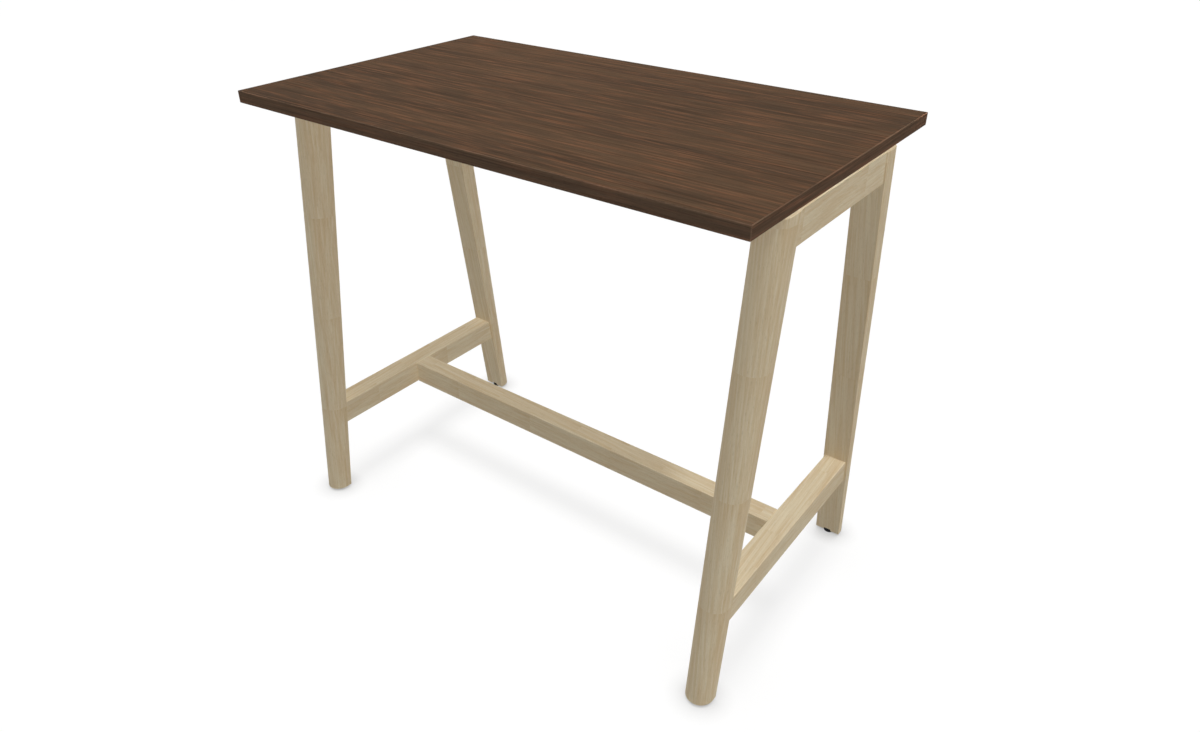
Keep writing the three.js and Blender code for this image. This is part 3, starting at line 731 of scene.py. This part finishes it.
# %% Rails
RAIL_ARRIS = 1.5 * MM
RAIL_END_ARRIS = 1.4 * MM
JOINT_GAP = 0.3 * MM
RAIL_FIRST_JOINT = 92 * MM  # from the middle of the rail
RAIL_STAVE_WIDTH = 30 * MM
RAIL_SEAM = 15 * MM


def inner_face(height):
    rise = (height - leg_low.z) / leg_rise
    return -(foot_inner + (top_inner - foot_inner) * rise)


def end_rims(shape, axis, reach):
    # The edges round both ends of a bar
    def at_end(vertex):
        return abs(vertex.co[axis]) > reach

    return [e for e in shape.edges if all(at_end(v) for v in e.verts) and len(e.link_faces) == 2
            and any(abs(f.normal[axis]) > 0.7 for f in e.link_faces)]


def rail(node, member):
    low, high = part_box(node)
    shape = new_shape()
    for vertex in box_between(shape, low, high):
        vertex.co.y = math.copysign(inner_face(vertex.co.z) - JOINT_GAP, vertex.co.y)
    round_edges(shape, edges_along(shape, 1), RAIL_ARRIS)
    shape.normal_update()
    round_edges(shape, end_rims(shape, 1, inner_face(high.z) - 2 * RAIL_ARRIS), RAIL_END_ARRIS, segments=2)
    write_grain(shape, (0, 1, 0), (low + high) / 2, RAIL_FIRST_JOINT, RAIL_STAVE_WIDTH, RAIL_SEAM, member)
    return place_piece(shape, node)


for member, node in enumerate(("top_rail_left", "top_rail_right", "foot_rail_left", "foot_rail_right"), 4):
    made = rail(node, member)
    print(made.name, len(made.data.polygons), "faces")

# %% [markdown]
# The stretcher is a straight bar with a pocket in its underside near each end, where a spanner reaches the
# nut that draws it to the foot rail. Two cuts across the bar and two along it outline each pocket on the
# lowest face; that face is then pushed up into the wood.

# %% Stretcher
POCKET_LENGTH = 32 * MM
POCKET_SIDE = 3.5 * MM
STRETCHER_FIRST_JOINT = 150 * MM


def cut_across(shape, axis, level):
    normal = [0, 0, 0]
    normal[axis] = 1
    point = [0, 0, 0]
    point[axis] = level
    everything = shape.verts[:] + shape.edges[:] + shape.faces[:]
    bmesh.ops.bisect_plane(shape, geom=everything, plane_co=point, plane_no=normal, dist=LEVEL)


def stretcher():
    low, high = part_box("stretcher")
    shape = new_shape()
    box_between(shape, low, high)
    round_edges(shape, edges_along(shape, 0), RAIL_ARRIS)
    shape.normal_update()
    round_edges(shape, end_rims(shape, 0, high.x - RAIL_ARRIS), RAIL_END_ARRIS, segments=2)
    washer_low, washer_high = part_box("plate_washer_right")
    pocket_wall = washer_high.x + JOINT_GAP
    half_width = (washer_high.y - washer_low.y) / 2 + POCKET_SIDE
    for level in (pocket_wall, pocket_wall - POCKET_LENGTH, POCKET_LENGTH - pocket_wall, -pocket_wall):
        cut_across(shape, 0, level)
    for level in (-half_width, half_width):
        cut_across(shape, 1, level)
    shape.normal_update()
    floors = [f for f in shape.faces if f.normal.z < -0.99 and abs(f.calc_center_median().y) < half_width
              and pocket_wall - POCKET_LENGTH < abs(f.calc_center_median().x) < pocket_wall]
    raised = bmesh.ops.extrude_discrete_faces(shape, faces=floors)["faces"]
    depth = washer_high.z + POCKET_SIDE - low.z
    bmesh.ops.translate(shape, vec=(0, 0, depth), verts=list({v for f in raised for v in f.verts}))
    write_grain(shape, (1, 0, 0), (low + high) / 2, STRETCHER_FIRST_JOINT, RAIL_STAVE_WIDTH, RAIL_SEAM, 8)
    return place_piece(shape, "stretcher")


made = stretcher()
print(made.name, len(made.data.polygons), "faces")

# %% [markdown]
# ## Beams and coach screws
# Two black tubes carry the top 9 mm clear of the wood. A tube is a box with rounded long edges, hollow from
# end to end, with holes in its lower wall for a screwdriver. A plate is welded round each end, and two hex
# coach screws hold the plate to the top rail. The weld is a small sloping collar where tube and plate meet.

# %% Beams
TUBE_HEIGHT = 40 * MM
TUBE_WIDTH = 20 * MM
TUBE_WALL = 2 * MM
TUBE_CORNER = 3 * MM
PLATE_THICKNESS = 4 * MM
PLATE_BELOW_TOP = 3 * MM
PLATE_CORNER = 6 * MM
PLATE_ARRIS = 0.5 * MM
WELD_SIZE = 3 * MM
DRIVER_HOLE = 6 * MM


def open_tube(shape, low, high, corner):
    made = box_between(shape, low, high)
    region = list({edge for vertex in made for edge in vertex.link_edges})
    long_edges = [e for e in region if abs((e.verts[1].co - e.verts[0].co).x) > LEVEL]
    round_edges(shape, long_edges, corner, segments=4)
    ends = [f for f in shape.faces if len(f.verts) > 4]
    bmesh.ops.delete(shape, geom=ends, context="FACES_ONLY")


def drill_wall(shape, level, places):
    wall = [f for f in shape.faces if all(abs(v.co.z - level) < LEVEL for v in f.verts)]
    rim = list({edge for face in wall for edge in face.edges})
    bmesh.ops.delete(shape, geom=wall, context="FACES_ONLY")
    mouths = []
    for place in places:
        spot = Matrix.Translation((place.x, place.y, level))
        ring = bmesh.ops.create_circle(shape, cap_ends=False, radius=DRIVER_HOLE, segments=32, matrix=spot)
        mouths.append(list({edge for vertex in ring["verts"] for edge in vertex.link_edges}))
    bmesh.ops.triangle_fill(shape, use_beauty=True, edges=rim + [e for mouth in mouths for e in mouth])
    return mouths


def add_plate(shape, side, low, high):
    inner = side * (high.x - PLATE_THICKNESS)
    outer = side * high.x
    corner_low = Vector((min(inner, outer), low.y, low.z))
    corner_high = Vector((max(inner, outer), high.y, high.z - PLATE_BELOW_TOP))
    made = box_between(shape, corner_low, corner_high)
    edges = list({edge for vertex in made for edge in vertex.link_edges})
    short = [e for e in edges if abs((e.verts[1].co - e.verts[0].co).x) > LEVEL]
    round_edges(shape, short, PLATE_CORNER, segments=5)


def add_weld(shape, side, low, high, middle):
    face = side * (high.x - PLATE_THICKNESS)
    tube_low = high.z - TUBE_HEIGHT
    size = Vector((WELD_SIZE, TUBE_WIDTH + 0.2 * MM, TUBE_HEIGHT - PLATE_BELOW_TOP))
    centre = Vector((face - side * WELD_SIZE / 2, middle, tube_low + size.z / 2))
    made = box_between(shape, centre - size / 2, centre + size / 2)
    for vertex in made:
        if abs(vertex.co.x - face) < LEVEL:
            vertex.co.y += math.copysign(WELD_SIZE, vertex.co.y - middle)
            if vertex.co.z < centre.z:
                vertex.co.z -= WELD_SIZE


def beam(row):
    node = f"beam_{row}"
    low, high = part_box(node)
    middle = (low.y + high.y) / 2
    bottom = high.z - TUBE_HEIGHT
    shape = new_shape()
    outer_low = Vector((low.x, middle - TUBE_WIDTH / 2, bottom))
    outer_high = Vector((high.x, middle + TUBE_WIDTH / 2, high.z))
    wall = Vector((0, TUBE_WALL, TUBE_WALL))
    open_tube(shape, outer_low, outer_high, TUBE_CORNER)
    open_tube(shape, outer_low + wall, outer_high - wall, TUBE_CORNER - TUBE_WALL)
    for end in (low.x, high.x):
        rim = [e for e in shape.edges if e.is_boundary and all(abs(v.co.x - end) < LEVEL for v in e.verts)]
        bmesh.ops.bridge_loops(shape, edges=rim)
    screws = [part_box(f"top_screw_{row}_{count}") for count in (1, 2, 3)]
    places = [(first + last) / 2 for first, last in screws]
    lower = drill_wall(shape, bottom, places)
    upper = drill_wall(shape, bottom + TUBE_WALL, places)
    for mouth, opposite in zip(lower, upper):
        bmesh.ops.bridge_loops(shape, edges=mouth + opposite)
    for side in (-1, 1):
        add_plate(shape, side, low, high)
        add_weld(shape, side, low, high, middle)
    return place_piece(shape, node)


for row in ("front", "rear"):
    made = beam(row)
    print(made.name, len(made.data.polygons), "faces")

# %% Coach screws
HEAD_HEIGHT = 5.5 * MM
HEAD_ACROSS_FLATS = 13 * MM
HEAD_CHAMFER = 0.9 * MM
SHANK_RADIUS = 4 * MM
HEX_TURN = math.radians(30)


def coach_screw(row, side, count):
    node = f"coach_screw_{row}_{side}_{count}"
    low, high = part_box(node)
    way = 1 if side == "right" else -1
    start = low.x if way > 0 else high.x
    middle = (low + high) / 2
    shape = new_shape()
    lay_down = Matrix.Rotation(way * math.pi / 2, 4, "Y") @ Matrix.Rotation(HEX_TURN, 4, "Z")
    head_place = Matrix.Translation((start + way * HEAD_HEIGHT / 2, middle.y, middle.z)) @ lay_down
    radius = HEAD_ACROSS_FLATS / math.sqrt(3)
    bmesh.ops.create_cone(shape, cap_ends=True, segments=6, radius1=radius, radius2=radius,
                          depth=HEAD_HEIGHT, matrix=head_place)
    crown = [e for e in shape.edges if all(abs(v.co.x - start) < LEVEL for v in e.verts)]
    round_edges(shape, crown, HEAD_CHAMFER, segments=2)
    length = high.x - low.x - HEAD_HEIGHT
    shank_place = Matrix.Translation((start + way * (HEAD_HEIGHT + length / 2), middle.y, middle.z)) @ lay_down
    bmesh.ops.create_cone(shape, cap_ends=True, segments=32, radius1=SHANK_RADIUS, radius2=SHANK_RADIUS,
                          depth=length, matrix=shank_place)
    return place_piece(shape, node)


for row in ("front", "rear"):
    for side in ("left", "right"):
        for count in (1, 2):
            made = coach_screw(row, side, count)
print("coach screws: 8, each with", len(made.data.polygons), "faces")

# %% [markdown]
# ## Levelling glides
# Under each leg a nylon pad sits on the foot of a threaded stud, and the stud turns in a brass insert in the
# leg. All three are turned parts, so each one is a profile spun through a full turn about the glide's axis.
# The thread is real geometry: a small tooth, spun many times round while it climbs by one pitch a turn.

# %% Glides
THREAD_PITCH = 1.25 * MM
THREAD_DEPTH = 0.65 * MM
THREAD_STEPS_PER_TURN = 24
STUD_RADIUS = 4 * MM
STUD_FOOT_HEIGHT = 2 * MM
PAD_ROUNDING = 0.8 * MM
PAD_FLOOR = 4 * MM
PAD_LIP = 4.4 * MM
SOCKET_SLIP = 0.3 * MM


def add_thread(shape, axis, start, length):
    root = STUD_RADIUS - THREAD_DEPTH - 0.1 * MM
    tooth = [(root, 0.0), (root, 0.86), (STUD_RADIUS, 0.5), (STUD_RADIUS, 0.36)]
    points = [bmesh.ops.create_vert(shape, co=axis + Vector((radius, 0, start + part * THREAD_PITCH)))["vert"][0]
              for radius, part in tooth]
    face = bmesh.ops.contextual_create(shape, geom=points)["faces"]
    turns = length / THREAD_PITCH - 1
    steps = round(turns * THREAD_STEPS_PER_TURN)
    climb = Vector((0, 0, THREAD_PITCH / THREAD_STEPS_PER_TURN))
    around = face + points + list({edge for point in points for edge in point.link_edges})
    bmesh.ops.spin(shape, geom=around, cent=axis, axis=(0, 0, 1), dvec=climb,
                   angle=steps * 2 * math.pi / THREAD_STEPS_PER_TURN, steps=steps)


def ring_edges(shape, axis, radius, heights):
    found = []
    for edge in shape.edges:
        level = any(all(abs(v.co.z - height) < LEVEL for v in edge.verts) for height in heights)
        if level and all(abs((v.co - axis).to_2d().length - radius) < LEVEL for v in edge.verts):
            found.append(edge)
    return found


def glide(corner):
    pad_low, pad_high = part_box(f"glide_pad_{corner}")
    stud_low, stud_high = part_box(f"glide_stud_{corner}")
    insert_low, insert_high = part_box(f"glide_insert_{corner}")
    axis = Vector(((pad_low.x + pad_high.x) / 2, (pad_low.y + pad_high.y) / 2, 0))
    pad_radius = (pad_high.x - pad_low.x) / 2
    foot_radius = (stud_high.x - stud_low.x) / 2
    insert_radius = (insert_high.x - insert_low.x) / 2
    neck = STUD_RADIUS + SOCKET_SLIP
    socket = foot_radius + SOCKET_SLIP

    pad = new_shape()
    spun(pad, axis, [(0, 0), (pad_radius, 0), (pad_radius, pad_high.z), (neck, pad_high.z),
                     (neck, pad_high.z - PAD_LIP), (socket, pad_high.z - PAD_LIP), (socket, PAD_FLOOR), (0, PAD_FLOOR)])
    round_edges(pad, ring_edges(pad, axis, pad_radius, (0, pad_high.z)), PAD_ROUNDING, segments=4)
    place_piece(pad, f"glide_pad_{corner}")

    stud = new_shape()
    core = STUD_RADIUS - THREAD_DEPTH
    shoulder = stud_low.z + STUD_FOOT_HEIGHT
    spun(stud, axis, [(0, stud_low.z), (foot_radius, stud_low.z), (foot_radius, shoulder), (core, shoulder),
                      (core, stud_high.z - THREAD_DEPTH), (core - THREAD_DEPTH, stud_high.z), (0, stud_high.z)])
    add_thread(stud, axis, shoulder, stud_high.z - THREAD_PITCH - shoulder)
    place_piece(stud, f"glide_stud_{corner}")

    insert = new_shape()
    bore = STUD_RADIUS + SOCKET_SLIP
    spun(insert, axis, [(bore, insert_low.z), (insert_radius, insert_low.z), (insert_radius, insert_high.z),
                        (bore, insert_high.z), (bore, insert_low.z)])
    round_edges(insert, ring_edges(insert, axis, bore, (insert_low.z,)), SOCKET_SLIP, segments=2)
    place_piece(insert, f"glide_insert_{corner}")


for corner in corners:
    glide(corner)
print("glides:", corners)

# %% [markdown]
# ## Solids that stay
# The board, the small fasteners and the loose tenons keep their solids, because their shapes are right as
# they are. Each one still gets the finish of its own slot in place of the plain colour it came with.

# %% Finish the solids that stay
kept = [name for name, solid in frame["nodes"].items() if not solid.hide_render]
for name in kept:
    solid = frame["nodes"][name]
    for slot in solid.material_slots:
        slot.material = finishes[slot_of[name]]
print("solids that show:", len(kept))

# %% [markdown]
# ## Two linked lamps
# Light linking decides which objects a lamp lights and which ones block it. One more sun lights the floor
# alone, and the legs, rails, stretcher and glides block it, so their soft shadows fall straight down.
# A last one lights only the legs and the top rails, without a shadow: light creeps in under the edge of the
# top there, and draws a bright line along the upper edge of the frame.

# %% Link the last lamps
LEDGE_SUN = ((0.0, 0.0, 1.0), 1.1, 30, False)

ledge_sun = add_sun("ledge", *LEDGE_SUN)
frame_heads = bpy.data.collections.new("lit_by_ledge_sun")
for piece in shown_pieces():
    if piece.name.startswith(("leg_", "top_rail_")):
        frame_heads.objects.link(piece)
ledge_sun.light_linking.receiver_collection = frame_heads

shadow_sun = add_sun("floor_shadow", *SHADOW_SUN)
lit = bpy.data.collections.new("lit_by_shadow_sun")
lit.objects.link(floor)
blocking = bpy.data.collections.new("blocks_shadow_sun")
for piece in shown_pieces():
    if piece.name.startswith(("leg_", "foot_rail_", "stretcher", "glide_pad_")):
        blocking.objects.link(piece)
shadow_sun.light_linking.receiver_collection = lit
shadow_sun.light_linking.blocker_collection = blocking
